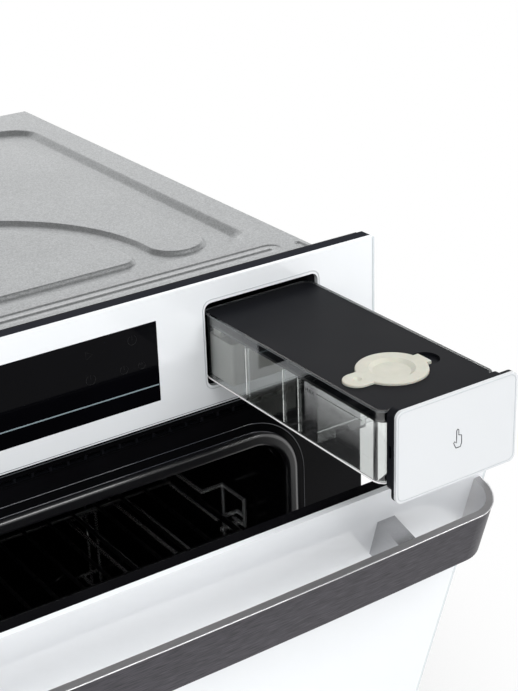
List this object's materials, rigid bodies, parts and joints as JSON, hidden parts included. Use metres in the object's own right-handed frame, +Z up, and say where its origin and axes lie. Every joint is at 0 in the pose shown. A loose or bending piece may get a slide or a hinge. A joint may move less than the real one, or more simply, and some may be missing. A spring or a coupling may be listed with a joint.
{
  "type": "built-in combi steam oven",
  "caption": "built-in steam and hot-air oven with a drop-down glass door, wide flat handle, wire shelf on side racks and a clear water tank that pulls out of the control panel",
  "frame": {"origin": "centre of the underside of the base plate, where the oven stands", "axes": "+X to the right seen from the front, +Y to the back, +Z up; the front face looks along -Y"},
  "size_m": [0.595, 0.782, 0.595],
  "materials": {
    "galvanised_steel": "spangled zinc coat",
    "white_glass": "back-painted, polished edges",
    "black_glass": "gloss",
    "black_plastic": "satin",
    "black_enamel": "fired gloss enamel",
    "circuit_board": "solder mask",
    "silicone": "satin",
    "mineral_wool": "fibre",
    "stainless_steel": "brushed",
    "motor_steel": "zinc plated",
    "heater_tube": "dark oxide",
    "clear_glass": "clear",
    "lamp_ceramic": "glazed",
    "chrome_wire": "bright",
    "dark_brushed_steel": "brushed, tinted",
    "clear_plastic": "clear moulded",
    "white_plastic": "gloss",
    "cream_cap": "satin",
    "cast_aluminium": "as cast"
  },
  "bodies": {
    "housing": {"base_plate": "galvanised_steel", "side_panel_left": "galvanised_steel", "side_panel_right": "galvanised_steel", "back_panel": "galvanised_steel", "top_cover": "galvanised_steel", "control_glass": "white_glass", "display_glass": "black_glass", "panel_carrier": "black_plastic", "display_board": "circuit_board", "front_frame": "black_enamel", "vent_grille": "black_plastic", "door_gasket": "silicone", "cavity_liner": "black_enamel", "insulation_wrap": "mineral_wool", "fan_cover": "black_enamel", "fan_motor": "motor_steel", "ring_heater": "heater_tube", "grill_element": "heater_tube", "grill_brackets": "stainless_steel", "lamp_lens": "clear_glass", "lamp_holder": "lamp_ceramic", "steam_inlet": "stainless_steel", "temperature_sensor": "stainless_steel", "side_rack_left": "chrome_wire", "side_rack_right": "chrome_wire", "rack_studs": "chrome_wire", "hinge_brackets": "galvanised_steel", "tank_bay": "black_plastic", "dock_socket": "black_plastic", "component_tray": "galvanised_steel", "air_duct": "galvanised_steel", "blower_housing": "galvanised_steel", "blower_motor": "motor_steel", "water_pump": "white_plastic", "steam_boiler": "cast_aluminium", "power_board": "circuit_board", "water_hoses": "silicone", "terminal_box": "black_plastic"},
    "door": {"door_glass": "white_glass", "door_top_trim": "black_plastic", "door_side_trims": "black_plastic", "door_inner_frame": "black_enamel", "door_panes": "clear_glass", "pane_spacer": "stainless_steel", "door_hinge_arms": "galvanised_steel", "handle_band": "dark_brushed_steel", "handle_struts": "dark_brushed_steel", "handle_screws": "stainless_steel"},
    "drawer": {"drawer_glass": "white_glass", "drawer_block": "black_plastic", "tank_body": "clear_plastic", "tank_baffle": "clear_plastic", "tank_valve": "white_plastic"},
    "lid": {"tank_lid": "black_plastic", "lid_seal": "silicone"},
    "cap": {"filler_cap": "cream_cap"},
    "latch_pin": {"latch_plunger": "white_plastic"},
    "fan": {"convection_fan": "stainless_steel"},
    "blower": {"blower_wheel": "stainless_steel"},
    "shelf": {"wire_shelf": "chrome_wire"}
  },
  "joints": [
    {"name": "door_hinge", "type": "hinge", "parent": "housing", "child": "door", "pos_m": [0, -0.2825, 0.012], "axis": [1, 0, 0], "range_deg": [-17.2, 72.8]},
    {"name": "tank_drawer_slide", "type": "slide", "parent": "housing", "child": "drawer", "axis": [0, -1, 0], "range_m": [-0.2215, 0]},
    {"name": "tank_lid_tilt", "type": "hinge", "parent": "drawer", "child": "lid", "pos_m": [0.1915, -0.2834, 0.5702], "axis": [-1, 0, 0], "range_deg": [0, 40]},
    {"name": "filler_cap_hinge", "type": "hinge", "parent": "lid", "child": "cap", "pos_m": [0.1491, -0.4475, 0.5702], "axis": [0, -1, 0], "range_deg": [0, 95]},
    {"name": "latch_pin_push", "type": "slide", "parent": "housing", "child": "latch_pin", "axis": [0, 1, 0], "range_m": [0, 0.004], "stiffness_N_per_m": 400},
    {"name": "convection_fan_spin", "type": "hinge", "parent": "housing", "child": "fan", "pos_m": [0, 0.1074, 0.262], "axis": [0, 1, 0], "continuous": true},
    {"name": "blower_spin", "type": "hinge", "parent": "housing", "child": "blower", "pos_m": [-0.04, -0.12, 0.496], "axis": [0, 0, 1], "continuous": true},
    {"name": "shelf_slide", "type": "slide", "parent": "housing", "child": "shelf", "axis": [0, -1, 0], "range_m": [0, 0.08]}
  ]
}
